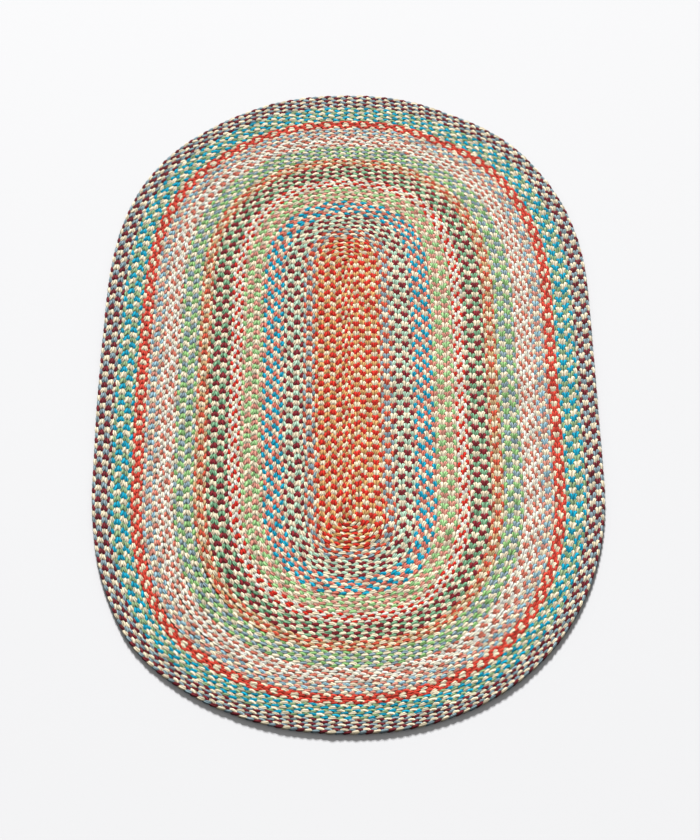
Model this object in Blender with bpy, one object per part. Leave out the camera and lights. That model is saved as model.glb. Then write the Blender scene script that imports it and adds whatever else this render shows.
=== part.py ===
"""Oval braided rug, lying flat.

Narrow three-strand plaits are laid round and round and sewn edge to edge.  Fourteen runs of
plait, each in its own yarns, are nested: a centre patch and thirteen closed bands.  Each run is
one solid with a flat underside and one raised rib for every round of plait.

Metres, +Z up.  The rug is long along Y and its near end is at -Y.  The origin is on the
underside, in the middle of the outline.
"""
import math

import bmesh
import bpy

MM = 0.001

# Driving sizes of the whole rug
HALF_LENGTH = 762 * MM          # centre to either end, before the bulges
CREST = 9.0 * MM                # top of a plait above the underside
VALLEY = 6.3 * MM               # top of the sewn joint between two plaits
SEAM = 0.4 * MM                 # clear gap between two bands
RIM_BELLY = 4.5 * MM            # height where the outermost plait is widest
RIM_TUCK = 2.0 * MM             # how far the outermost plait draws in at its foot
END_STEPS = 10                  # straight pieces in each quarter of the end curves
SIDE_STEPS = 5                  # and from there to the middle of a side

# How the ovals change from the centre line to the rim
STRAIGHT_LOSS = 85 * MM         # the straight sides get this much shorter on the way out
STRAIGHT_EASE = 2.5             # and most of it within the inner rounds
ROUNDNESS_CENTRE = 2.62         # exponent of the end curve: 2 is an ellipse, more is squarer
ROUNDNESS_RIM = 2.18
NEAR_SHIFT = 13 * MM            # inside the rim, the near ends of the rounds lie this much nearer
FAR_SHIFT = 5 * MM              # and their far ends this much
SHIFT_FADE = 72 * MM            # the shift fades out over this distance from the rim

# The bands from the centre out: rounds of plait, width of one plait, and the mean yarn colour
BANDS = [
    {"name": "band_01_centre", "rounds": 5.5, "plait": 11.0 * MM, "colour": (0.62, 0.22, 0.12)},
    {"name": "band_02", "rounds": 2, "plait": 11.2 * MM, "colour": (0.50, 0.30, 0.24)},
    {"name": "band_03", "rounds": 3, "plait": 12.2 * MM, "colour": (0.46, 0.33, 0.25)},
    {"name": "band_04", "rounds": 3, "plait": 12.8 * MM, "colour": (0.45, 0.43, 0.36)},
    {"name": "band_05", "rounds": 3, "plait": 12.8 * MM, "colour": (0.58, 0.48, 0.33)},
    {"name": "band_06", "rounds": 2, "plait": 10.8 * MM, "colour": (0.70, 0.46, 0.36)},
    {"name": "band_07", "rounds": 3, "plait": 12.5 * MM, "colour": (0.39, 0.30, 0.20)},
    {"name": "band_08", "rounds": 2, "plait": 11.0 * MM, "colour": (0.62, 0.33, 0.16)},
    {"name": "band_09", "rounds": 3, "plait": 11.8 * MM, "colour": (0.39, 0.45, 0.34)},
    {"name": "band_10", "rounds": 3, "plait": 10.5 * MM, "colour": (0.68, 0.46, 0.37)},
    {"name": "band_11", "rounds": 2, "plait": 11.5 * MM, "colour": (0.47, 0.40, 0.36)},
    {"name": "band_12", "rounds": 2, "plait": 10.4 * MM, "colour": (0.66, 0.22, 0.13)},
    {"name": "band_13", "rounds": 3, "plait": 12.2 * MM, "colour": (0.30, 0.46, 0.37)},
    {"name": "band_14_rim", "rounds": 3, "plait": 10.8 * MM, "colour": (0.36, 0.28, 0.24)},
]
YARN_ROUGHNESS = 0.9

# Where hand sewing pushed the rounds out (+) or drew them in (-).  "at" is the share of the way
# round from the middle of the near end, past +X; "core" acts on the inner rounds, "rim" outside.
BULGES = [
    {"at": 0.000, "spread": 0.045, "core": 8 * MM, "rim": 3 * MM},
    {"at": 0.055, "spread": 0.030, "core": 6 * MM, "rim": 0 * MM},
    {"at": 0.385, "spread": 0.030, "core": -3 * MM, "rim": -2 * MM},
    {"at": 0.445, "spread": 0.025, "core": 1 * MM, "rim": -8 * MM},
    {"at": 0.505, "spread": 0.025, "core": 6 * MM, "rim": -2 * MM},
    {"at": 0.565, "spread": 0.030, "core": 0 * MM, "rim": -6 * MM},
    {"at": 0.670, "spread": 0.030, "core": 0 * MM, "rim": -3 * MM},
    {"at": 0.760, "spread": 0.040, "core": 0 * MM, "rim": 3 * MM},
    {"at": 0.855, "spread": 0.020, "core": -5 * MM, "rim": 3 * MM},
    {"at": 0.900, "spread": 0.030, "core": -4 * MM, "rim": 14 * MM},
    {"at": 0.945, "spread": 0.025, "core": -4 * MM, "rim": 3 * MM},
]
CORE_FULL = 70 * MM             # the inner bulges grow to full size over this distance
CORE_FADE = 183 * MM            # fade out over this one,
CORE_END = 366 * MM             # and are gone here
RIM_START = 206 * MM            # the outer bulges begin here
RIM_GROW = 183 * MM             # and grow to full size over this distance

QUARTER_STEPS = END_STEPS + SIDE_STEPS
ROUND_STEPS = 4 * QUARTER_STEPS
HALF_WIDTH = sum(band["rounds"] * band["plait"] for band in BANDS)
CENTRE_LINE = HALF_LENGTH - HALF_WIDTH     # half length of the straight centre plait
SMALLEST = 0.5 * MM             # the top of the centre plait ends in an oval this thin
WELD = 0.01 * MM                # points this close are one point
SHARP = math.radians(60)        # edges above this angle stay sharp


def clamp(value):
    return max(0.0, min(1.0, value))


def bulge(out, share):
    """How far the oval at distance out from the centre line is pushed out at this share."""
    core_part = clamp(min(out / CORE_FULL, (CORE_END - out) / CORE_FADE))
    rim_part = clamp((out - RIM_START) / RIM_GROW)
    push = 0.0
    for row in BULGES:
        away = (share - row["at"] + 0.5) % 1.0 - 0.5
        fall = math.exp(-(away / row["spread"]) ** 2)
        push += fall * (row["core"] * core_part + row["rim"] * rim_part)
    return push


def even_point(out, number):
    """Point number of an even oval, counted from the middle of the near end past +X."""
    inward = out / HALF_WIDTH
    straight = CENTRE_LINE - STRAIGHT_LOSS * (1 - clamp(1 - inward) ** STRAIGHT_EASE)
    reach = CENTRE_LINE + out - straight
    inside = clamp((HALF_WIDTH - out) / SHIFT_FADE)
    power = 2 / (ROUNDNESS_CENTRE + (ROUNDNESS_RIM - ROUNDNESS_CENTRE) * inward)
    quarter, step = divmod(number % ROUND_STEPS, QUARTER_STEPS)
    if quarter in (1, 3):
        step = QUARTER_STEPS - step
    straight += (NEAR_SHIFT if quarter in (0, 3) else -FAR_SHIFT) * inside
    if step < END_STEPS:
        turn = math.pi / 2 * step / END_STEPS
        across = out * math.sin(turn) ** power
        along = straight + reach * math.cos(turn) ** power
    else:
        across = out
        along = straight * (QUARTER_STEPS - step) / SIDE_STEPS
    side = 1 if quarter in (0, 1) else -1
    end = -1 if quarter in (0, 3) else 1
    return side * across, end * along


def uneven_oval(out):
    """All points of the oval at distance out from the centre line, with its bulges."""
    even = [even_point(out, number) for number in range(ROUND_STEPS + 1)]
    lengths = [0.0]
    for before, after in zip(even, even[1:]):
        lengths.append(lengths[-1] + math.dist(before, after))
    shares = [length / lengths[-1] for length in lengths[:-1]]
    return [even_point(out + bulge(out, share), number) for number, share in enumerate(shares)]


def middle_of_outline():
    """The middle of the rim's bounding box, which the origin stands under."""
    rim = uneven_oval(HALF_WIDTH)
    across = [point[0] for point in rim]
    along = [point[1] for point in rim]
    return (min(across) + max(across)) / 2, (min(along) + max(along)) / 2


SHIFT = middle_of_outline()


def lay_on_oval(vertices, out, height, number_layer):
    oval = uneven_oval(out)
    for vertex in vertices:
        across, along = oval[vertex[number_layer]]
        vertex.co = (across - SHIFT[0], along - SHIFT[1], height)


def band_profile(inner, band, is_rim):
    """The section from the inner foot over the ribs to the outer foot: (out, height) pairs."""
    half = band["plait"] / 2
    outer = inner + band["rounds"] * band["plait"]
    if inner > 0:
        profile = [(inner + SEAM / 2, 0.0), (inner + SEAM / 2, VALLEY)]
    else:
        profile = [(SMALLEST, CREST), (half, VALLEY)]
        inner = half
    crest = inner + half
    while crest < outer:
        profile += [(crest, CREST), (crest + half, VALLEY)]
        crest += band["plait"]
    if is_rim:
        profile[-1] = (outer, RIM_BELLY)
        profile.append((outer - RIM_TUCK, 0.0))
    else:
        profile[-1] = (outer - SEAM / 2, VALLEY)
        profile.append((outer - SEAM / 2, 0.0))
    return profile


def first_ring(mesh, out, height, number_layer):
    circle = bmesh.ops.create_circle(mesh, segments=ROUND_STEPS, radius=out)["verts"]
    for number, vertex in enumerate(circle):
        vertex[number_layer] = number
    lay_on_oval(circle, out, height, number_layer)
    return list(mesh.edges)


def next_ring(mesh, ring, out, height, number_layer):
    """Extrude the open edge of the surface and lay the new edge on the next oval."""
    made = bmesh.ops.extrude_edge_only(mesh, edges=ring)["geom"]
    vertices = [item for item in made if isinstance(item, bmesh.types.BMVert)]
    lay_on_oval(vertices, out, height, number_layer)
    edges = [item for item in made if isinstance(item, bmesh.types.BMEdge)]
    return [edge for edge in edges if len(edge.link_faces) == 1]


def sweep_band(profile):
    """A closed solid: the profile carried round the ovals, with a flat underside."""
    mesh = bmesh.new()
    number_layer = mesh.verts.layers.int.new("number")
    first_out, first_height = profile[0]
    start = first_ring(mesh, first_out, first_height, number_layer)
    ring = start
    for out, height in profile[1:]:
        ring = next_ring(mesh, ring, out, height, number_layer)
    if first_height == 0.0:
        next_ring(mesh, ring, first_out, first_height, number_layer)
        bmesh.ops.remove_doubles(mesh, verts=mesh.verts, dist=WELD)
    else:
        bmesh.ops.contextual_create(mesh, geom=start)
        bmesh.ops.contextual_create(mesh, geom=ring)
    bmesh.ops.recalc_face_normals(mesh, faces=mesh.faces)
    return mesh


def yarn_material(name, colour):
    material = bpy.data.materials.new(name)
    material.use_nodes = True
    shader = material.node_tree.nodes["Principled BSDF"]
    shader.inputs["Base Color"].default_value = (*colour, 1.0)
    shader.inputs["Roughness"].default_value = YARN_ROUGHNESS
    shader.inputs["Metallic"].default_value = 0.0
    return material


def make_band(band, inner, is_rim):
    solid = sweep_band(band_profile(inner, band, is_rim))
    data = bpy.data.meshes.new(band["name"])
    solid.to_mesh(data)
    solid.free()
    data.materials.append(yarn_material(band["name"] + "_yarn", band["colour"]))
    data.shade_smooth()
    data.set_sharp_from_angle(angle=SHARP)
    bpy.context.scene.collection.objects.link(bpy.data.objects.new(band["name"], data))


def main():
    for thing in list(bpy.data.objects):
        bpy.data.objects.remove(thing)
    inner = 0.0
    for band in BANDS:
        make_band(band, inner, is_rim=band is BANDS[-1])
        inner += band["rounds"] * band["plait"]


main()
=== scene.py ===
# The looks of an oval braided rug: real three-strand plaits, laid round and round and sewn
# edge to edge in fourteen colour bands.  Metres, +Z up, near end at -Y.
import math

import bmesh
import bpy
import numpy as np
from mathutils import Matrix, Vector


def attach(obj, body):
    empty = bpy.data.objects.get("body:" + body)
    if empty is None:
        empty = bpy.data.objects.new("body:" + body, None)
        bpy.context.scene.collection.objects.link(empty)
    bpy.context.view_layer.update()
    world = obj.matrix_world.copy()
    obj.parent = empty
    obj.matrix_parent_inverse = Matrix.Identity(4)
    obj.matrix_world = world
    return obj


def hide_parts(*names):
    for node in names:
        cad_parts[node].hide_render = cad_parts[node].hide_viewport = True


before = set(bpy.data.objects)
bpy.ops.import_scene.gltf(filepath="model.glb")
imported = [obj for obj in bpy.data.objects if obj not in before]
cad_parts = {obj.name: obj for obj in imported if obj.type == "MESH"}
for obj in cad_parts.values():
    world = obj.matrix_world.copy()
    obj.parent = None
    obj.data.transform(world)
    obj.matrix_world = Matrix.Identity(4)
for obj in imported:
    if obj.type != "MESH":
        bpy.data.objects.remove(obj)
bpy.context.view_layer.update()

print("frame loaded:", len(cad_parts), "bands")

rugPlan = {
    "halfLength": 0.762,        # centre to either end, before the bulges
    "straightLoss": 0.085,      # the straight sides get this much shorter on the way out
    "straightEase": 2.5,
    "roundnessCentre": 2.62,    # exponent of the end curve
    "roundnessRim": 2.18,
    "nearShift": 0.013,         # inside the rim, the near ends of the rounds lie nearer
    "farShift": 0.005,          # and so do their far ends
    "shiftFade": 0.072,         # the shift fades out over this distance from the rim
    "thickness": 0.009,
    "coreFull": 0.070,          # how the inner bulges grow and fade
    "coreFade": 0.183,
    "coreEnd": 0.366,
    "rimStart": 0.206,          # and the outer ones
    "rimGrow": 0.183,
    "cadEndSteps": 10,          # the CAD outline's steps, only to find its middle
    "cadSideSteps": 5,
}

# From the centre out: rounds, width of a plait, length of one full turn of a strand, and yarns.
# slip is how far, in turns, neighbouring rounds are moved against each other, and moreTurns how
# many turns a round has more than the one inside it, 2 where nothing is said.
bands = [
    {"node": "band_01_centre", "rounds": 5.5, "plait": 0.0110, "turn": 0.0345,
     "yarns": ("red", "ochre", "cream")},
    {"node": "band_02", "rounds": 2, "plait": 0.0112, "turn": 0.0380,
     "yarns": ("brick", "slate", "cream")},
    {"node": "band_03", "rounds": 3, "plait": 0.0122, "turn": 0.0370,
     "yarns": ("maroon", "paleGreen", "cream")},
    {"node": "band_04", "rounds": 3, "plait": 0.0128, "turn": 0.0370, "slip": 0.17,
     "yarns": ("turquoise", "coral", "cream")},
    {"node": "band_05", "rounds": 3, "plait": 0.0128, "turn": 0.0360,
     "yarns": ("leafGreen", "salmon", "cream")},
    {"node": "band_06", "rounds": 2, "plait": 0.0108, "turn": 0.0353, "slip": -0.12,
     "yarns": ("red", "white", "cream")},
    {"node": "band_07", "rounds": 3, "plait": 0.0125, "turn": 0.0370,
     "yarns": ("maroon", "seaGreen", "cream")},
    {"node": "band_08", "rounds": 2, "plait": 0.0110, "turn": 0.0385,
     "yarns": ("brick", "sand", "cream")},
    {"node": "band_09", "rounds": 3, "plait": 0.0118, "turn": 0.0376,
     "yarns": ("green", "slate", "cream")},
    {"node": "band_10", "rounds": 3, "plait": 0.0105, "turn": 0.0382, "slip": 0.22,
     "yarns": ("rose", "white", "paleCream")},
    {"node": "band_11", "rounds": 2, "plait": 0.0115, "turn": 0.0375,
     "yarns": ("paleBlue", "salmon", "cream")},
    {"node": "band_12", "rounds": 2, "plait": 0.0104, "turn": 0.0360, "moreTurns": 0,
     "yarns": ("poppy", "poppy", "cream")},
    {"node": "band_13", "rounds": 3, "plait": 0.0122, "turn": 0.0395,
     "yarns": ("turquoise", "sage", "cream")},
    {"node": "band_14_rim", "rounds": 3, "plait": 0.0108, "turn": 0.0385,
     "yarns": ("plum", "slate", "cream")},
]

# where hand sewing pushed the rounds out or drew them in, as in the CAD
bulges = [
    {"at": 0.000, "spread": 0.045, "core": 0.008, "rim": 0.003},
    {"at": 0.055, "spread": 0.030, "core": 0.006, "rim": 0.000},
    {"at": 0.385, "spread": 0.030, "core": -0.003, "rim": -0.002},
    {"at": 0.445, "spread": 0.025, "core": 0.001, "rim": -0.008},
    {"at": 0.505, "spread": 0.025, "core": 0.006, "rim": -0.002},
    {"at": 0.565, "spread": 0.030, "core": 0.000, "rim": -0.006},
    {"at": 0.670, "spread": 0.030, "core": 0.000, "rim": -0.003},
    {"at": 0.760, "spread": 0.040, "core": 0.000, "rim": 0.003},
    {"at": 0.855, "spread": 0.020, "core": -0.005, "rim": 0.003},
    {"at": 0.900, "spread": 0.030, "core": -0.004, "rim": 0.014},
    {"at": 0.945, "spread": 0.025, "core": -0.004, "rim": 0.003},
]

halfWidth = sum(band["rounds"] * band["plait"] for band in bands)
centreLine = rugPlan["halfLength"] - halfWidth


# how far the oval at this distance is pushed out, at each share of the way round
def bulgeAt(out, share):
    fade = (rugPlan["coreEnd"] - out) / rugPlan["coreFade"]
    core = np.clip(np.minimum(out / rugPlan["coreFull"], fade), 0, 1)
    rim = np.clip((out - rugPlan["rimStart"]) / rugPlan["rimGrow"], 0, 1)
    push = np.zeros_like(share)
    for row in bulges:
        away = (share - row["at"] + 0.5) % 1.0 - 0.5
        push += np.exp(-(away / row["spread"]) ** 2) * (row["core"] * core + row["rim"] * rim)
    return push


# points of an even oval, counted from the middle of the near end past +X
def evenOval(out, number, endSteps, sideSteps):
    inward = out / halfWidth
    lost = 1 - np.clip(1 - inward, 0, 1) ** rugPlan["straightEase"]
    straight = centreLine - rugPlan["straightLoss"] * lost
    reach = centreLine + out - straight
    inside = np.clip((halfWidth - out) / rugPlan["shiftFade"], 0, 1)
    rounder = rugPlan["roundnessRim"] - rugPlan["roundnessCentre"]
    power = 2 / (rugPlan["roundnessCentre"] + rounder * inward)
    quarterSteps = endSteps + sideSteps
    quarter = (number // quarterSteps) % 4
    step = number % quarterSteps
    step = np.where(quarter % 2 == 1, quarterSteps - step, step)
    isNear = (quarter == 0) | (quarter == 3)
    straight = straight + np.where(isNear, rugPlan["nearShift"], -rugPlan["farShift"]) * inside
    turn = math.pi / 2 * np.minimum(step, endSteps) / endSteps
    across = out * np.sin(turn) ** power
    along = straight + reach * np.maximum(np.cos(turn), 0) ** power
    onSide = step >= endSteps
    across = np.where(onSide, out, across)
    along = np.where(onSide, straight * (quarterSteps - step) / sideSteps, along)
    across = np.where((quarter == 0) | (quarter == 1), across, -across)
    along = np.where(isNear, -along, along)
    return across, along


# the same with its bulges, and pushed out by nudge all round
def unevenOval(out, endSteps, sideSteps, nudge=0.0):
    number = np.arange(4 * (endSteps + sideSteps) + 1)
    across, along = evenOval(np.full(number.shape, out), number, endSteps, sideSteps)
    lengths = np.concatenate([[0], np.cumsum(np.hypot(np.diff(across), np.diff(along)))])
    share = lengths / lengths[-1]
    return evenOval(out + bulgeAt(out, share) + nudge, number, endSteps, sideSteps)


# the origin stands under the middle of the CAD outline
rimAcross, rimAlong = unevenOval(halfWidth, rugPlan["cadEndSteps"], rugPlan["cadSideSteps"])
planMiddle = ((rimAcross.min() + rimAcross.max()) / 2, (rimAlong.min() + rimAlong.max()) / 2)


# evens out a closed row of numbers with a soft window
def closedSmooth(values, reach):
    if reach < 1:
        return values
    window = np.exp(-(np.arange(-3 * reach, 3 * reach + 1) / reach) ** 2)
    wrapped = np.concatenate([values[-3 * reach:], values, values[:3 * reach]])
    return np.convolve(wrapped, window / window.sum(), "valid")


pathPlan = {
    "spacing": 0.0015,          # between the points of a round's middle line
    "endSteps": 80,             # points of an oval in a quarter's end curve
    "sideSteps": 40,            # and from there to the middle of a side
    "nudge": 0.0005,            # the ovals this far out and in show how wide the round lies
    "ease": 0.008,              # corners are eased over this length
    "tightEase": 0.25,          # or over this share of out in a tight round,
    "tightOut": 0.04,           # which is nearer to the centre line than this
    "narrowest": 0.8,           # bounds of the width, and points that it is eased over
    "widest": 1.3,
    "widthEase": 6,
}


# the middle line of a round at even spacing, with its outward side and how wide it lies
def roundPath(out):
    endSteps, sideSteps = pathPlan["endSteps"], pathPlan["sideSteps"]
    spacing, nudge = pathPlan["spacing"], pathPlan["nudge"]
    across, along = unevenOval(out, endSteps, sideSteps)
    wideAcross, wideAlong = unevenOval(out, endSteps, sideSteps, nudge)
    thinAcross, thinAlong = unevenOval(out, endSteps, sideSteps, -nudge)
    lengths = np.concatenate([[0], np.cumsum(np.hypot(np.diff(across), np.diff(along)))])
    count = int(lengths[-1] / spacing)
    even = np.arange(count) * lengths[-1] / count
    ease = pathPlan["tightEase"] * out if out < pathPlan["tightOut"] else pathPlan["ease"]
    reach = max(1, int(ease / spacing)) // 3
    x = closedSmooth(np.interp(even, lengths, across), reach)
    y = closedSmooth(np.interp(even, lengths, along), reach)
    forwardX = closedSmooth(np.roll(x, -1) - np.roll(x, 1), reach)
    forwardY = closedSmooth(np.roll(y, -1) - np.roll(y, 1), reach)
    size = np.hypot(forwardX, forwardY)
    outX, outY = forwardY / size, -forwardX / size
    stepX = np.interp(even, lengths, wideAcross - thinAcross) / (2 * nudge)
    stepY = np.interp(even, lengths, wideAlong - thinAlong) / (2 * nudge)
    width = np.clip(stepX * outX + stepY * outY, pathPlan["narrowest"], pathPlan["widest"])
    width = closedSmooth(width, pathPlan["widthEase"])
    return {"x": x - planMiddle[0], "y": y - planMiddle[1], "outX": outX, "outY": outY,
            "width": width, "length": lengths[-1], "closed": True}


# the centre plait's middle line, from the near end to the far end
def straightPath(halfRun, count=400):
    nearEnd, farEnd = -halfRun - rugPlan["nearShift"], halfRun - rugPlan["farShift"]
    y = np.linspace(nearEnd, farEnd, count)
    zero = np.zeros(count)
    return {"x": zero - planMiddle[0], "y": y - planMiddle[1], "outX": zero + 1, "outY": zero,
            "width": zero + 1, "length": farEnd - nearEnd, "closed": False}


# every column of a path at these shares of its length
def readPath(path, share):
    names = ("x", "y", "outX", "outY", "width")
    if path["closed"]:
        at = (share % 1.0) * len(path["x"])
        knots = np.arange(len(path["x"]) + 1)
        return [np.interp(at, knots, np.append(path[name], path[name][0])) for name in names]
    knots = np.linspace(0, 1, len(path["x"]))
    return [np.interp(share, knots, path[name]) for name in names]


plaitLook = {
    "swing": 0.58,              # of half the plait's width: how far a strand's middle swings out
    "linger": 0.42,             # how much slower it passes the edge than it crosses the middle
    "chevron": 0.2,             # how far the lobes slant outwards along the plait
    "chevronBend": 0.001,       # and how softly the slant turns round at the plait's middle
    "lift": 0.0014,             # how far it rises and dips about mid height
    "wideEdge": 0.53,           # a strand's half width, of half the plait's, at the plait's edge,
    "wideLobe": 0.60,           # where it lies on top,
    "wideMiddle": 0.52,         # and where it crosses the middle
    "late": math.radians(-2),   # how far past a lobe's middle it is highest: below 0 is before it
    "flat": 0.38,               # 1 is a round section, less has a flatter top
    "strandTall": 0.0024,       # its half height
    "edgeTaller": 0.0004,       # taller at the edge and thinner at the middle by this
    "lean": math.radians(8),    # how far its top leans over the plait's edge
    "rings": (66, 106, 146, 196),  # degrees of each half turn that get a ring of points
    "section": (270, 325, 10, 62, 118, 170, 215),  # and degrees round the strand of its points
    "full": (1.0, 0.96, 1.05),  # how full each of the three yarns is: cream is thickest,
    "fullCentre": (1.18, 1.08, 1.0),  # but in the centre patch red is
    "endThin": 0.02,            # how thin the ends of the open plait are
    "endRun": 0.60,             # and how far it runs on, in plait widths
    "sizeWaver": 0.12,          # unevenness from lobe to lobe, of the strand's size,
    "sideWaver": 0.00030,       # sideways
    "heightWaver": 0.00022,     # and up and down
    "pitchWaver": 0.0024,       # slow unevenness along the plait
    "wander": 0.0003,           # and sideways,
    "wanderRun": 0.06,          # over about this length
    "matching": 0.05,           # how far, in turns, the rounds of a band slip by chance
    "seed": 11,
    "weld": 0.00001,            # points this close are one point
    "broadTops": 80,            # how much large faces count in the shading
}
sectionAngles = [math.radians(angle) for angle in plaitLook["section"]]
rng = np.random.default_rng(plaitLook["seed"])


# smooth seeded unevenness along a round that meets itself
def waver(share, knots, size):
    values = rng.uniform(-1, 1, knots) * size
    at = (share % 1.0) * knots
    low = np.floor(at).astype(int)
    mix = at - low
    mix = mix * mix * (3 - 2 * mix)
    return values[low % knots] * (1 - mix) + values[(low + 1) % knots] * mix


# rings of points for one strand of a plait: an array of rings x sides x 3
def strandShape(path, band, turns, strand, phase, shared):
    perHalf = len(plaitLook["rings"])
    rings = 2 * perHalf * turns
    ring = np.arange(rings + 1)
    theta = math.pi * (ring // perHalf) + np.radians(plaitLook["rings"])[ring % perHalf]
    share = (theta / (2 * math.pi) - strand / 3 - phase) / turns
    if not path["closed"]:
        share = ring / rings
        theta = theta[0] + 2 * math.pi * (share * turns + strand / 3 + phase)
    half = band["plait"] / 2
    swing = plaitLook["swing"] * half
    lobes = turns * 2
    full = plaitLook["fullCentre" if band is bands[0] else "full"][strand]
    size = full * (1 + waver(share, lobes, plaitLook["sizeWaver"]))
    side = (swing * np.sin(theta) + shared["side"](share)
            + waver(share, lobes, plaitLook["sideWaver"]))
    rise = -np.sin(2 * (theta - plaitLook["late"]))
    height = (rugPlan["thickness"] / 2 + plaitLook["lift"] * rise
              + waver(share, lobes, plaitLook["heightWaver"]))
    rate = 2 * math.pi * turns / path["length"]
    linger = plaitLook["linger"]
    run = share * path["length"] + shared["along"](share) - linger / 2 * np.sin(2 * theta) / rate
    atEdge = -np.cos(2 * theta)
    offTop = 0.5 + 0.5 * np.cos(4 * theta)
    wideEdge, wideMiddle = plaitLook["wideEdge"], plaitLook["wideMiddle"]
    wideLobe = plaitLook["wideLobe"]
    squeezed = (wideEdge + wideMiddle) / 2 + (wideEdge - wideMiddle) / 2 * atEdge
    wide = (wideLobe + (squeezed - wideLobe) * offTop) * half * size
    tall = (plaitLook["strandTall"] + plaitLook["edgeTaller"] * atEdge) * size
    lean = plaitLook["lean"] * math.sqrt(2) * np.cos(theta)
    if not path["closed"]:
        toEnd = np.minimum(share, 1 - share) * path["length"] / half
        endFade = np.sqrt(np.clip(toEnd, plaitLook["endThin"], 1))
        wide, tall, side = wide * endFade, tall * endFade, side * endFade
    # the strand's own directions: forward, sideways and up
    pace = rate / (1 - linger * np.cos(2 * theta))
    forwardSide = swing * np.cos(theta) * pace
    climb = -2 * np.cos(2 * (theta - plaitLook["late"]))
    forwardUp = plaitLook["lift"] * climb * pace
    level = np.hypot(1, forwardSide)
    steep = np.sqrt(1 + forwardSide ** 2 + forwardUp ** 2)
    acrossRun, acrossSide = -forwardSide / level, 1 / level
    upRun = -forwardUp / level / steep
    upSide = -forwardUp * forwardSide / level / steep
    upUp = level / steep
    points = np.empty((rings + 1, len(sectionAngles), 3))
    for number, angle in enumerate(sectionAngles):
        over, up = math.cos(angle), math.sin(angle)
        over = math.copysign(abs(over) ** plaitLook["flat"], over) * wide
        up = math.copysign(abs(up) ** plaitLook["flat"], up) * tall
        a = over * np.cos(lean) - up * np.sin(lean)
        b = over * np.sin(lean) + up * np.cos(lean)
        pointSide = side + a * acrossSide + b * upSide
        slant = plaitLook["chevron"] * np.hypot(pointSide, plaitLook["chevronBend"])
        pointRun = run + a * acrossRun + b * upRun + slant
        pointUp = height + b * upUp
        x, y, outX, outY, width = readPath(path, pointRun / path["length"])
        points[:, number, 0] = x + outX * pointSide * width
        points[:, number, 1] = y + outY * pointSide * width
        points[:, number, 2] = np.clip(pointUp, 0.0, None)
    return points


# rolls a grid up into the strand's tube and returns it as a mesh with a map along the yarn
def strandTube(points, length, closed):
    rings, sides = points.shape[0], points.shape[1]
    tube = bmesh.new()
    uvLayer = tube.loops.layers.uv.new("yarn")
    bmesh.ops.create_grid(tube, x_segments=rings - 1, y_segments=sides, size=0.5, calc_uvs=True)
    for vertex in tube.verts:
        ring = round((vertex.co.x + 0.5) * (rings - 1))
        side = round((vertex.co.y + 0.5) * sides) % sides
        vertex.co = points[ring, side]
    for face in tube.faces:
        face.smooth = True
        for loop in face.loops:
            loop[uvLayer].uv.x *= length
    bmesh.ops.remove_doubles(tube, verts=tube.verts, dist=plaitLook["weld"])
    if not closed:
        bmesh.ops.collapse(tube, edges=[edge for edge in tube.edges if edge.is_boundary])
    bmesh.ops.recalc_face_normals(tube, faces=tube.faces)
    mesh = bpy.data.meshes.new("strand")
    tube.to_mesh(mesh)
    tube.free()
    return mesh


# three strands of one round, each in its own yarn; like lobes face each other on the long sides
# where the band has no slip
def addPlait(bandMesh, path, band, turns, facing):
    phase = (facing / 2 - turns / 4 + facing * band.get("slip", 0)
             + rng.uniform(-1, 1) * plaitLook["matching"])
    slow = max(3, int(path["length"] / plaitLook["wanderRun"]))
    alongWaver = rng.uniform(-1, 1, slow) * plaitLook["pitchWaver"]
    sideWaver = rng.uniform(-1, 1, slow) * plaitLook["wander"]
    grid = np.arange(slow + 1) / slow
    shared = {
        "along": lambda share: np.interp(share % 1.0, grid, np.append(alongWaver, alongWaver[0])),
        "side": lambda share: np.interp(share % 1.0, grid, np.append(sideWaver, sideWaver[0])),
    }
    for strand in range(3):
        points = strandShape(path, band, turns, strand, phase, shared)
        mesh = strandTube(points, path["length"], path["closed"])
        before = len(bandMesh.faces)
        bandMesh.from_mesh(mesh)
        bandMesh.faces.ensure_lookup_table()
        for face in bandMesh.faces[before:]:
            face.material_index = strand
        bpy.data.meshes.remove(mesh)


# turns a finished bmesh into an object in the scene
def placePiece(name, shape):
    mesh = bpy.data.meshes.new(name)
    shape.to_mesh(mesh)
    shape.free()
    piece = bpy.data.objects.new(name, mesh)
    bpy.context.scene.collection.objects.link(piece)
    return piece


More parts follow.
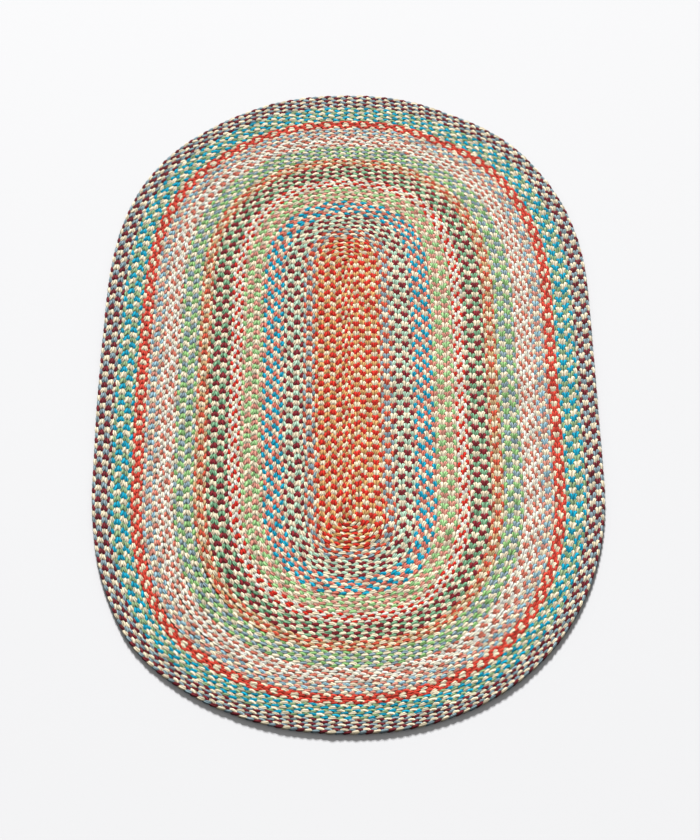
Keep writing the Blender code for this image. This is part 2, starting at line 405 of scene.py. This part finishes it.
yarnColours = {                 # sRGB, as the yarn looks in plain light
    "cream": (234, 221, 192),
    "white": (233, 231, 221),
    "paleCream": (235, 228, 208),
    "red": (206, 44, 28),
    "poppy": (212, 72, 54),
    "brick": (204, 84, 58),
    "rose": (206, 118, 97),
    "salmon": (212, 146, 128),
    "coral": (216, 122, 102),
    "ochre": (212, 166, 106),
    "sand": (202, 168, 122),
    "maroon": (136, 34, 44),
    "plum": (120, 34, 44),
    "green": (146, 190, 122),
    "sage": (148, 174, 130),
    "leafGreen": (158, 202, 138),
    "paleGreen": (182, 214, 190),
    "seaGreen": (126, 174, 136),
    "turquoise": (0, 160, 188),
    "slate": (140, 162, 170),
    "paleBlue": (148, 184, 196),
}
yarnLook = {
    "plies": 8,                 # yarns side by side round a strand
    "twist": 34.0,              # turns of the plies along a metre
    "plyShade": 0.74,           # painted shade: how much darker the grooves between them are
    "plyRound": 0.6,            # 1 would be sharp crests, and less is broader
    "plyTone": 0.42,            # how much one differs from the next
    "grooveShadeTint": 0.7,              # how much richer in colour the painted shade in the grooves is
    "fibre": 0.42,              # light and dark of single fibres
    "fibreAlong": 900.0,        # how fine they are along the yarn
    "fibreAcross": 14.0,        # and across it
    "fibreGain": 1.6,           # contrast
    "fibreRough": 0.1,          # and their share in the roughness
    "fibreHeight": 0.5,         # and the bump
    "dye": 0.26,                # uneven dye along the yarn
    "dyeScale": 90.0,
    "dyeGain": 1.8,
    "fleck": 0.02,              # undyed fibres spun in with the coloured ones
    "fleckScale": 420.0,
    "fleckFrom": 0.50,          # where in the noise a fleck begins and is full
    "fleckTo": 0.68,
    "undyed": (228, 216, 190),
    "rough": 0.85,
    "specular": 0.06,
    "fuzz": 0.03,               # sheen of loose fibres
    "fuzzRough": 0.6,
    "bump": 0.7,
    "bumpDepth": 0.0005,
    "deepShade": 0.50,          # painted shade in the hollows between strands
    "deepFrom": 0.0040,         # height where that begins
    "deepTo": 0.0078,           # and where it has gone
}


# sRGB as 0 to 255 to the linear colour with alpha that nodes take
def linear(colour):
    parts = [c / 255 for c in colour]
    parts = [c / 12.92 if c <= 0.04045 else ((c + 0.055) / 1.055) ** 2.4 for c in parts]
    return (*parts, 1.0)


def node(tree, kind, place, **values):
    made = tree.nodes.new(kind)
    made.location = place
    for name, value in values.items():
        setattr(made, name, value)
    return made


# the group's number inputs, and what yarnLook calls them
yarnSockets = (("Plies", "plies"), ("Twist", "twist"), ("Ply Shade", "plyShade"),
               ("Ply Tone", "plyTone"), ("Groove Shade Tint", "grooveShadeTint"), ("Fibre", "fibre"), ("Dye", "dye"),
               ("Fleck", "fleck"), ("Deep Shade", "deepShade"), ("Deep From", "deepFrom"),
               ("Deep To", "deepTo"), ("Roughness", "rough"))


# colour with painted shade in its grooves and hollows, roughness and bump height of plied yarn,
# from the piece's own map
def yarnGroup():
    tree = bpy.data.node_groups.new("pliedYarn", "ShaderNodeTree")
    tree.interface.new_socket("Yarn", in_out="INPUT", socket_type="NodeSocketColor")
    for name, key in yarnSockets:
        tree.interface.new_socket(name, in_out="INPUT", socket_type="NodeSocketFloat")
    for name, kind in (("Colour", "NodeSocketColor"), ("Roughness", "NodeSocketFloat"),
                       ("Height", "NodeSocketFloat")):
        tree.interface.new_socket(name, in_out="OUTPUT", socket_type=kind)
    links = tree.links
    given = node(tree, "NodeGroupInput", (-1600, 0))
    result = node(tree, "NodeGroupOutput", (900, 0))

    def maths(operation, place, first, second=None, clamp=False):
        made = node(tree, "ShaderNodeMath", place, operation=operation, use_clamp=clamp)
        for socket, value in zip(made.inputs, (first, second)):
            if value is None:
                continue
            if isinstance(value, (int, float)):
                socket.default_value = value
            else:
                links.new(value, socket)
        return made.outputs[0]

    uv = node(tree, "ShaderNodeUVMap", (-1600, 400), uv_map="yarn")
    parts = node(tree, "ShaderNodeSeparateXYZ", (-1400, 400))
    links.new(uv.outputs["UV"], parts.inputs[0])
    # plies winding round the strand
    wound = maths("MULTIPLY", (-1200, 500), parts.outputs["X"], given.outputs["Twist"])
    around = maths("MULTIPLY", (-1200, 350), parts.outputs["Y"], given.outputs["Plies"])
    turned = maths("MULTIPLY", (-1000, 430), maths("ADD", (-1100, 430), wound, around), math.pi)
    wave = maths("ABSOLUTE", (-700, 430), maths("SINE", (-850, 430), turned))
    ply = maths("POWER", (-550, 430), wave, yarnLook["plyRound"])
    # each ply its own tone
    number = maths("FLOOR", (-1000, 600), maths("ADD", (-1100, 600), wound, around))
    tone = node(tree, "ShaderNodeTexWhiteNoise", (-700, 600), noise_dimensions="1D")
    which = maths("FLOORED_MODULO", (-850, 600), number, given.outputs["Plies"])
    links.new(which, tone.inputs["W"])
    # fibres drawn out along the yarn
    longWay = node(tree, "ShaderNodeCombineXYZ", (-1200, 150))
    fibreX = maths("MULTIPLY", (-1350, 200), parts.outputs["X"], yarnLook["fibreAlong"])
    windings = maths("ADD", (-1450, 60), wound, around)
    fibreY = maths("MULTIPLY", (-1350, 60), windings, yarnLook["fibreAcross"])
    links.new(fibreX, longWay.inputs["X"])
    links.new(fibreY, longWay.inputs["Y"])
    fibre = node(tree, "ShaderNodeTexNoise", (-1000, 150), noise_dimensions="2D")
    fibre.inputs["Scale"].default_value = 1.0
    fibre.inputs["Detail"].default_value = 2.0
    links.new(longWay.outputs[0], fibre.inputs["Vector"])
    # uneven dye, in real places
    where = node(tree, "ShaderNodeTexCoord", (-1400, -200))
    dye = node(tree, "ShaderNodeTexNoise", (-1000, -200), noise_dimensions="3D")
    dye.inputs["Scale"].default_value = yarnLook["dyeScale"]
    dye.inputs["Detail"].default_value = 3.0
    links.new(where.outputs["Object"], dye.inputs["Vector"])
    # flecks of undyed fibre
    speck = node(tree, "ShaderNodeTexNoise", (-1000, -700), noise_dimensions="3D")
    speck.inputs["Scale"].default_value = yarnLook["fleckScale"]
    speck.inputs["Detail"].default_value = 3.0
    links.new(where.outputs["Object"], speck.inputs["Vector"])
    pale = node(tree, "ShaderNodeMapRange", (-800, -700), interpolation_type="SMOOTHSTEP")
    pale.inputs["From Min"].default_value = yarnLook["fleckFrom"]
    pale.inputs["From Max"].default_value = yarnLook["fleckTo"]
    links.new(speck.outputs["Fac"], pale.inputs["Value"])
    flecked = node(tree, "ShaderNodeMix", (0, 0), data_type="RGBA")
    links.new(maths("MULTIPLY", (-200, -700), pale.outputs["Result"], given.outputs["Fleck"]),
              flecked.inputs["Factor"])
    links.new(given.outputs["Yarn"], flecked.inputs["A"])
    flecked.inputs["B"].default_value = linear(yarnLook["undyed"])
    # painted shade in the hollows between the strands: darker the lower the surface lies
    height = node(tree, "ShaderNodeSeparateXYZ", (-1200, -400))
    links.new(where.outputs["Object"], height.inputs[0])
    shadeHeightMask = node(tree, "ShaderNodeMapRange", (-1000, -450), interpolation_type="SMOOTHSTEP")
    links.new(height.outputs["Z"], shadeHeightMask.inputs["Value"])
    links.new(given.outputs["Deep From"], shadeHeightMask.inputs["From Min"])
    links.new(given.outputs["Deep To"], shadeHeightMask.inputs["From Max"])

    # 1 where value is 1, and less by amount where it is 0
    def shade(place, value, amount):
        missing = maths("SUBTRACT", (place[0], place[1]), 1.0, value)
        taken = maths("MULTIPLY", (place[0] + 150, place[1]), missing, amount)
        return maths("SUBTRACT", (place[0] + 300, place[1]), 1.0, taken)

    # painted shade in the grooves between plies, times each ply's own tone
    plyShadeAndTone = maths("MULTIPLY", (-100, 500), shade((-500, 430), ply, given.outputs["Ply Shade"]),
                     shade((-500, 600), tone.outputs["Value"], given.outputs["Ply Tone"]))
    fibreTone = maths("MULTIPLY", (-850, 150), fibre.outputs["Fac"], yarnLook["fibreGain"])
    fibreLight = shade((-700, 150), fibreTone, given.outputs["Fibre"])
    dyeTone = maths("MULTIPLY", (-850, -200), dye.outputs["Fac"], yarnLook["dyeGain"])
    dyeLight = shade((-700, -200), dyeTone, given.outputs["Dye"])
    # painted shade, darkest low down in the hollows between strands
    hollowShade = shade((-700, -450), shadeHeightMask.outputs["Result"], given.outputs["Deep Shade"])
    # the yarn's tone from plies, fibres and dye, times painted shade in the ply grooves and in
    # the hollows between strands
    light = maths("MULTIPLY", (0, 300), maths("MULTIPLY", (-150, 300), plyShadeAndTone, fibreLight),
                  maths("MULTIPLY", (-150, -200), dyeLight, hollowShade))
    # painted shade in the grooves between plies takes the yarn's colour twice, so it is richer as
    # well as darker
    shadeTinted = node(tree, "ShaderNodeMix", (0, 100), data_type="RGBA", blend_type="MULTIPLY")
    links.new(maths("MULTIPLY", (-200, 0), maths("SUBTRACT", (-350, 0), 1.0, ply),
                    given.outputs["Groove Shade Tint"]), shadeTinted.inputs["Factor"])
    links.new(flecked.outputs["Result"], shadeTinted.inputs["A"])
    links.new(given.outputs["Yarn"], shadeTinted.inputs["B"])
    colour = node(tree, "ShaderNodeVectorMath", (200, 100), operation="SCALE")
    links.new(shadeTinted.outputs["Result"], colour.inputs[0])
    links.new(light, colour.inputs["Scale"])
    links.new(colour.outputs["Vector"], result.inputs["Colour"])
    fibreRough = maths("MULTIPLY", (50, -150), fibre.outputs["Fac"], yarnLook["fibreRough"])
    rougher = maths("ADD", (200, -100), given.outputs["Roughness"], fibreRough, clamp=True)
    links.new(rougher, result.inputs["Roughness"])
    fibreHeight = maths("MULTIPLY", (50, -350), fibre.outputs["Fac"], yarnLook["fibreHeight"])
    links.new(maths("ADD", (200, -300), ply, fibreHeight), result.inputs["Height"])
    return tree


pliedYarn = yarnGroup()


# plied yarn of one colour
def yarnMaterial(name, colour):
    material = bpy.data.materials.new("yarn_" + name)
    material.use_nodes = True
    tree = material.node_tree
    shader = tree.nodes["Principled BSDF"]
    shader.inputs["Metallic"].default_value = 0.0
    shader.inputs["Specular IOR Level"].default_value = yarnLook["specular"]
    shader.inputs["Sheen Weight"].default_value = yarnLook["fuzz"]
    shader.inputs["Sheen Roughness"].default_value = yarnLook["fuzzRough"]
    group = node(tree, "ShaderNodeGroup", (-500, 200), node_tree=pliedYarn)
    group.inputs["Yarn"].default_value = linear(colour)
    for socket, key in yarnSockets:
        group.inputs[socket].default_value = yarnLook[key]
    bump = node(tree, "ShaderNodeBump", (-250, -100))
    bump.inputs["Strength"].default_value = yarnLook["bump"]
    bump.inputs["Distance"].default_value = yarnLook["bumpDepth"]
    tree.links.new(group.outputs["Height"], bump.inputs["Height"])
    tree.links.new(group.outputs["Colour"], shader.inputs["Base Color"])
    tree.links.new(group.outputs["Roughness"], shader.inputs["Roughness"])
    tree.links.new(bump.outputs["Normal"], shader.inputs["Normal"])
    return material


yarnMaterials = {name: yarnMaterial(name, colour) for name, colour in yarnColours.items()}
print("yarns dyed:", len(yarnMaterials))


# a band's rounds of plait as one piece, in the place of its solid
def makeBand(band, inner):
    bandMesh = bmesh.new()
    bandMesh.loops.layers.uv.new("yarn")
    if inner == 0:
        run = centreLine + band["plait"] * plaitLook["endRun"]
        addPlait(bandMesh, straightPath(run), band, round(2 * run / band["turn"]), 1)
        inner = band["plait"] / 2
    for number in range(int(band["rounds"])):
        path = roundPath(inner + (number + 0.5) * band["plait"])
        if number == 0:
            turns = round(path["length"] / band["turn"])
        more = band.get("moreTurns", 2)
        addPlait(bandMesh, path, band, turns + more * number, number)
    piece = placePiece(band["node"] + "_plaits", bandMesh)
    for name in band["yarns"]:
        piece.data.materials.append(yarnMaterials[name])
    weighted = piece.modifiers.new("broad tops", "WEIGHTED_NORMAL")
    weighted.mode = "FACE_AREA"
    weighted.weight = plaitLook["broadTops"]
    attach(piece, "root")
    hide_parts(band["node"])
    print(piece.name, len(piece.data.polygons), "faces")
    return piece


inner = 0.0
for band in bands:
    makeBand(band, inner)
    inner += band["rounds"] * band["plait"]


pressedPlan = {
    "inset": 0.0045,            # from the rim
    "endSteps": 24,             # points of its outline in a quarter's end curve
    "sideSteps": 8,             # and from there to the middle of a side
    "low": 0.0040,              # its underside and top above the floor
    "high": 0.0054,
    "colour": (150, 128, 102),
}


# the dense heart of the plaits, which shows only in the gaps between the strands
def pressedYarn():
    x, y = unevenOval(halfWidth - pressedPlan["inset"], pressedPlan["endSteps"],
                      pressedPlan["sideSteps"])
    sheet = bmesh.new()
    sheet.loops.layers.uv.new("yarn")
    ring = bmesh.ops.create_circle(sheet, cap_ends=True, segments=len(x) - 1, radius=1)["verts"]
    for number, vertex in enumerate(ring):
        vertex.co = (x[number] - planMiddle[0], y[number] - planMiddle[1], pressedPlan["low"])
    area = sum(face.calc_area() for face in sheet.faces)
    extruded = bmesh.ops.extrude_face_region(sheet, geom=list(sheet.faces))["geom"]
    lifted = [item for item in extruded if isinstance(item, bmesh.types.BMVert)]
    lift = Vector((0, 0, pressedPlan["high"] - pressedPlan["low"]))
    bmesh.ops.translate(sheet, verts=lifted, vec=lift)
    bmesh.ops.recalc_face_normals(sheet, faces=sheet.faces)
    piece = placePiece("pressed_yarn", sheet)
    piece.data.materials.append(yarnMaterial("pressed", pressedPlan["colour"]))
    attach(piece, "root")


pressedYarn()
print("pressed yarn laid inside")


studio = {
    "floor": (177, 177, 178),   # sRGB
    "floorRough": 0.8,
    "floorSize": 120,
    "keyStrength": 9.3,
    "keyAngle": 0.20,           # radians that the key light is across: more is softer
    "keyFrom": (-0.08, 1.0, 0.58),
    "fillPower": 2,             # watts
    "fillSize": 3.0,
    "fillAt": (0.4, -2.0, 3.2),
    "sky": 0.42,
}
view = {
    "elevation": 49.8,          # degrees above the floor, at the rug's middle
    "turn": -0.27,              # degrees round the rug
    "distance": 4.79,
    "lens": 111.1,              # mm
    "sensor": 36.0,             # mm, the frame's long side
    "pixel": (347.9, 383.6),    # where the rug's middle lies in the 700 x 840 frame
    "frame": (700, 840),
}


def makeFloor():
    floor = bmesh.new()
    bmesh.ops.create_grid(floor, x_segments=1, y_segments=1, size=studio["floorSize"] / 2)
    piece = placePiece("studio_floor", floor)
    material = bpy.data.materials.new("studio_floor")
    material.use_nodes = True
    shader = material.node_tree.nodes["Principled BSDF"]
    shader.inputs["Base Color"].default_value = linear(studio["floor"])
    shader.inputs["Roughness"].default_value = studio["floorRough"]
    piece.data.materials.append(material)


def softLight(name, power, size, place):
    lamp = bpy.data.lights.new(name, "AREA")
    lamp.shape = "DISK"
    lamp.energy = power
    lamp.size = size
    light = bpy.data.objects.new(name, lamp)
    light.location = place
    light.rotation_mode = "QUATERNION"
    light.rotation_quaternion = (-Vector(place)).to_track_quat("-Z", "Y")
    bpy.context.scene.collection.objects.link(light)


# a far light from beyond the rug, so that the near edge has its dark contact shadow
def keyLight():
    lamp = bpy.data.lights.new("key", "SUN")
    lamp.energy = studio["keyStrength"]
    lamp.angle = studio["keyAngle"]
    light = bpy.data.objects.new("key", lamp)
    light.rotation_mode = "QUATERNION"
    light.rotation_quaternion = Vector(studio["keyFrom"]).to_track_quat("Z", "Y")
    bpy.context.scene.collection.objects.link(light)


def makeSky():
    bpy.context.scene.view_settings.view_transform = "Standard"
    world = bpy.data.worlds.new("studio")
    world.use_nodes = True
    background = world.node_tree.nodes["Background"]
    background.inputs["Color"].default_value = (1, 1, 1, 1)
    background.inputs["Strength"].default_value = studio["sky"]
    bpy.context.scene.world = world


# turned so that the rug's middle lies at its place in the photo's frame
def makeCamera():
    up, turn = math.radians(view["elevation"]), math.radians(view["turn"])
    middle = Vector((-planMiddle[0], -planMiddle[1], 0.0))
    back = Vector((math.sin(turn) * math.cos(up), -math.cos(turn) * math.cos(up), math.sin(up)))
    lens = bpy.data.cameras.new("camera")
    lens.lens = view["lens"]
    lens.sensor_width = view["sensor"]
    focal = view["lens"] / view["sensor"] * view["frame"][1]
    camera = bpy.data.objects.new("camera", lens)
    camera.rotation_mode = "QUATERNION"
    aim = (-back).to_track_quat("-Z", "Y")
    right = math.atan((view["frame"][0] / 2 - view["pixel"][0]) / focal)
    below = math.atan((view["frame"][1] / 2 - view["pixel"][1]) / focal)
    tilt = Matrix.Rotation(-below, 4, "X") @ Matrix.Rotation(-right, 4, "Y")
    camera.location = middle + back * view["distance"]
    camera.rotation_quaternion = (aim.to_matrix().to_4x4() @ tilt).to_quaternion()
    bpy.context.scene.collection.objects.link(camera)
    bpy.context.scene.camera = camera


makeFloor()
keyLight()
softLight("fill", studio["fillPower"], studio["fillSize"], studio["fillAt"])
makeSky()
makeCamera()
print("studio set")
